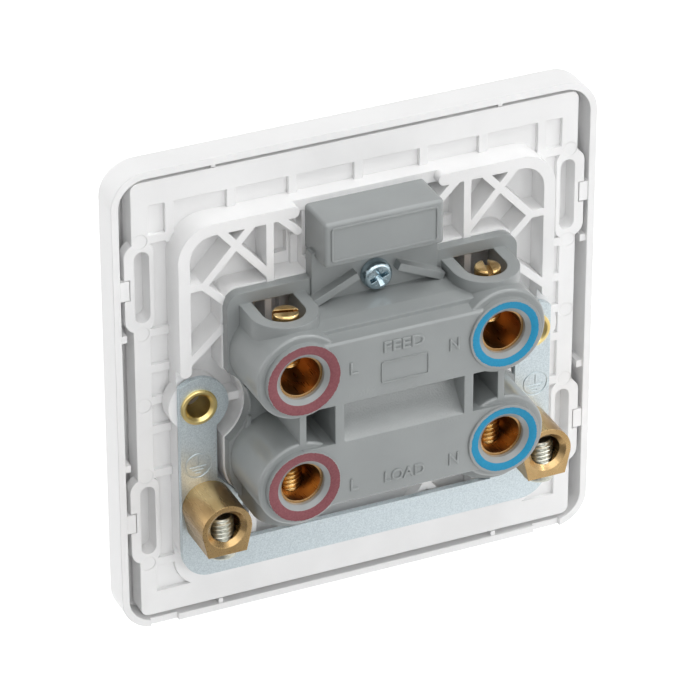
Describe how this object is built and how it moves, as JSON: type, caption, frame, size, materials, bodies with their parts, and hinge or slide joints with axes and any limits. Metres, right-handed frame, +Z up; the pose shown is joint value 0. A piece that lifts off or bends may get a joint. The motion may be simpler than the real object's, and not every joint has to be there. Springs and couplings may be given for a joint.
{
  "type": "double pole switch",
  "caption": "Square wall switch with a rocker front, a clip-on cover, round cable entries behind, clamp screws in windows and an earth strap",
  "frame": {"origin": "midpoint of the two fixing holes, in the plane of the cover's rear edge", "axes": "+X right as seen from the room, +Y from the room into the wall, +Z up"},
  "size_m": [0.086, 0.0294, 0.086],
  "materials": {
    "white_plastic": "moulded, satin",
    "grey_plastic": "moulded, satin",
    "zinc_steel": "zinc plated",
    "brass": "turned and drawn",
    "copper": "stamped copper",
    "silver": "silver alloy",
    "nylon": "natural",
    "spring_steel": "drawn wire",
    "red_lens": "clear red",
    "clear_glass": "clear",
    "board": "laminate"
  },
  "bodies": {
    "switch_body": {"mounting_plate": "white_plastic", "terminal_housing": "grey_plastic", "earth_strap": "zinc_steel", "housing_screw_top": "zinc_steel", "housing_screw_bottom": "zinc_steel", "indicator_lens": "red_lens", "indicator_lamp": "clear_glass", "indicator_board": "board", "feed_terminal_live": "brass", "feed_terminal_neutral": "brass", "load_terminal_live": "brass", "load_terminal_neutral": "brass", "feed_contact_live": "copper", "feed_contact_neutral": "copper", "load_bracket_live": "copper", "load_bracket_neutral": "copper", "fixed_tip_live": "silver", "fixed_tip_neutral": "silver", "eyelet_right": "brass", "eyelet_left": "brass", "earth_terminal_right": "brass", "earth_terminal_left": "brass"},
    "cover": {"cover_plate": "white_plastic"},
    "rocker": {"rocker": "white_plastic", "plunger_spring_live": "spring_steel", "plunger_spring_neutral": "spring_steel"},
    "plunger_live": {"plunger_live": "nylon"},
    "see_saw_live": {"moving_contact_live": "copper", "moving_tip_live": "silver"},
    "feed_screw_live": {"feed_screw_live": "brass"},
    "load_screw_live": {"load_screw_live": "brass"},
    "plunger_neutral": {"plunger_neutral": "nylon"},
    "see_saw_neutral": {"moving_contact_neutral": "copper", "moving_tip_neutral": "silver"},
    "feed_screw_neutral": {"feed_screw_neutral": "brass"},
    "load_screw_neutral": {"load_screw_neutral": "brass"},
    "earth_screw_right": {"earth_screw_right": "zinc_steel"},
    "earth_screw_left": {"earth_screw_left": "zinc_steel"}
  },
  "joints": [
    {"name": "cover_pull", "type": "slide", "parent": "switch_body", "child": "cover", "axis": [0, -1, 0], "range_m": [0, 0.03]},
    {"name": "rocker_hinge", "type": "hinge", "parent": "switch_body", "child": "rocker", "pos_m": [0, -0.0024, 0], "axis": [1, 0, 0], "range_deg": [0, 14]},
    {"name": "plunger_live_slide", "type": "slide", "parent": "rocker", "child": "plunger_live", "axis": [0, -0.9925, 0.1219], "range_m": [0, 0.0006], "stiffness_N_per_m": 400, "springref_m": -0.003, "deforming": ["plunger_spring_live"]},
    {"name": "see_saw_live_hinge", "type": "hinge", "parent": "switch_body", "child": "see_saw_live", "pos_m": [0.0075, 0.0086, 0], "axis": [1, 0, 0], "range_deg": [-17.5, 0]},
    {"name": "feed_screw_live_travel", "type": "slide", "parent": "switch_body", "child": "feed_screw_live", "axis": [0, 0, 1], "range_m": [-0.0018, 0.003]},
    {"name": "load_screw_live_travel", "type": "slide", "parent": "switch_body", "child": "load_screw_live", "axis": [0, 0, -1], "range_m": [-0.0018, 0.003]},
    {"name": "plunger_neutral_slide", "type": "slide", "parent": "rocker", "child": "plunger_neutral", "axis": [0, -0.9925, 0.1219], "range_m": [0, 0.0006], "stiffness_N_per_m": 400, "springref_m": -0.003, "deforming": ["plunger_spring_neutral"]},
    {"name": "see_saw_neutral_hinge", "type": "hinge", "parent": "switch_body", "child": "see_saw_neutral", "pos_m": [-0.0075, 0.0086, 0], "axis": [1, 0, 0], "range_deg": [-17.5, 0]},
    {"name": "feed_screw_neutral_travel", "type": "slide", "parent": "switch_body", "child": "feed_screw_neutral", "axis": [0, 0, 1], "range_m": [-0.0018, 0.003]},
    {"name": "load_screw_neutral_travel", "type": "slide", "parent": "switch_body", "child": "load_screw_neutral", "axis": [0, 0, -1], "range_m": [-0.0018, 0.003]},
    {"name": "earth_screw_right_travel", "type": "slide", "parent": "switch_body", "child": "earth_screw_right", "axis": [0, 0, -1], "range_m": [0, 0.003]},
    {"name": "earth_screw_left_travel", "type": "slide", "parent": "switch_body", "child": "earth_screw_left", "axis": [0, 0, -1], "range_m": [0, 0.003]}
  ],
  "couplings": [
    {"joint": "see_saw_live_hinge", "follows": "rocker_hinge", "ratio": -1.25},
    {"joint": "see_saw_neutral_hinge", "follows": "rocker_hinge", "ratio": -1.25}
  ]
}
